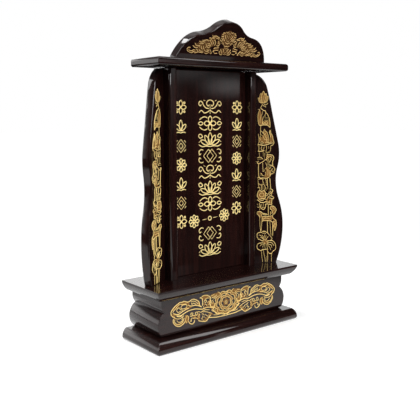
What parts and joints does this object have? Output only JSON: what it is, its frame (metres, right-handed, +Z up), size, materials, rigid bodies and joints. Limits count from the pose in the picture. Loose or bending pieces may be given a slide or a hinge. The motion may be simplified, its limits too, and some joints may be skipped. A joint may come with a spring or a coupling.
{
  "type": "chinese ancestor tablet",
  "caption": "Standing memorial tablet with a moulded base, a hollow body with a sliding front panel, two angled wavy wings and a lift-off roof with a leaning ogee crest.",
  "frame": {"origin": "centre of the underside of the foot slab", "axes": "+Z up, the front with its panel faces -Y, +X to the right seen from the front"},
  "size_m": [0.18, 0.062, 0.305],
  "materials": {
    "rosewood": "glossy dark lacquer over rosewood, gilt ornament on the front faces",
    "slip_wood": "oiled, unlacquered",
    "peg_wood": "bare",
    "screw_brass": "plain"
  },
  "bodies": {
    "base": {"foot_slab": "rosewood", "waist_block": "rosewood", "table_slab": "rosewood", "left_rail": "rosewood", "right_rail": "rosewood", "back_board": "rosewood", "left_wing": "rosewood", "right_wing": "rosewood", "table_pegs": "peg_wood", "wing_side_pegs": "peg_wood", "wing_foot_pegs": "peg_wood", "foot_screws": "screw_brass"},
    "cap": {"roof_board": "rosewood", "crest_board": "rosewood", "cap_tongue": "rosewood", "crest_pegs": "peg_wood", "tongue_pegs": "peg_wood"},
    "panel": {"front_panel": "rosewood"},
    "slip_1": {"name_slip_1": "slip_wood"},
    "slip_2": {"name_slip_2": "slip_wood"},
    "slip_3": {"name_slip_3": "slip_wood"},
    "slip_4": {"name_slip_4": "slip_wood"}
  },
  "joints": [
    {"name": "cap_lift", "type": "slide", "parent": "base", "child": "cap", "axis": [0, 0, 1], "range_m": [0, 0.23]},
    {"name": "panel_slide", "type": "slide", "parent": "base", "child": "panel", "axis": [0, 0, 1], "range_m": [0, 0.1935]},
    {"name": "slip_1_slide", "type": "slide", "parent": "base", "child": "slip_1", "axis": [0, 0, 1], "range_m": [0, 0.1935]},
    {"name": "slip_2_slide", "type": "slide", "parent": "base", "child": "slip_2", "axis": [0, 0, 1], "range_m": [0, 0.1935]},
    {"name": "slip_3_slide", "type": "slide", "parent": "base", "child": "slip_3", "axis": [0, 0, 1], "range_m": [0, 0.1935]},
    {"name": "slip_4_slide", "type": "slide", "parent": "base", "child": "slip_4", "axis": [0, 0, 1], "range_m": [0, 0.1935]}
  ],
  "couplings": [
    {"joint": "panel_slide", "follows": "cap_lift", "ratio": 0.84},
    {"joint": "slip_1_slide", "follows": "cap_lift", "ratio": 0.84},
    {"joint": "slip_2_slide", "follows": "cap_lift", "ratio": 0.84},
    {"joint": "slip_3_slide", "follows": "cap_lift", "ratio": 0.84},
    {"joint": "slip_4_slide", "follows": "cap_lift", "ratio": 0.84}
  ]
}
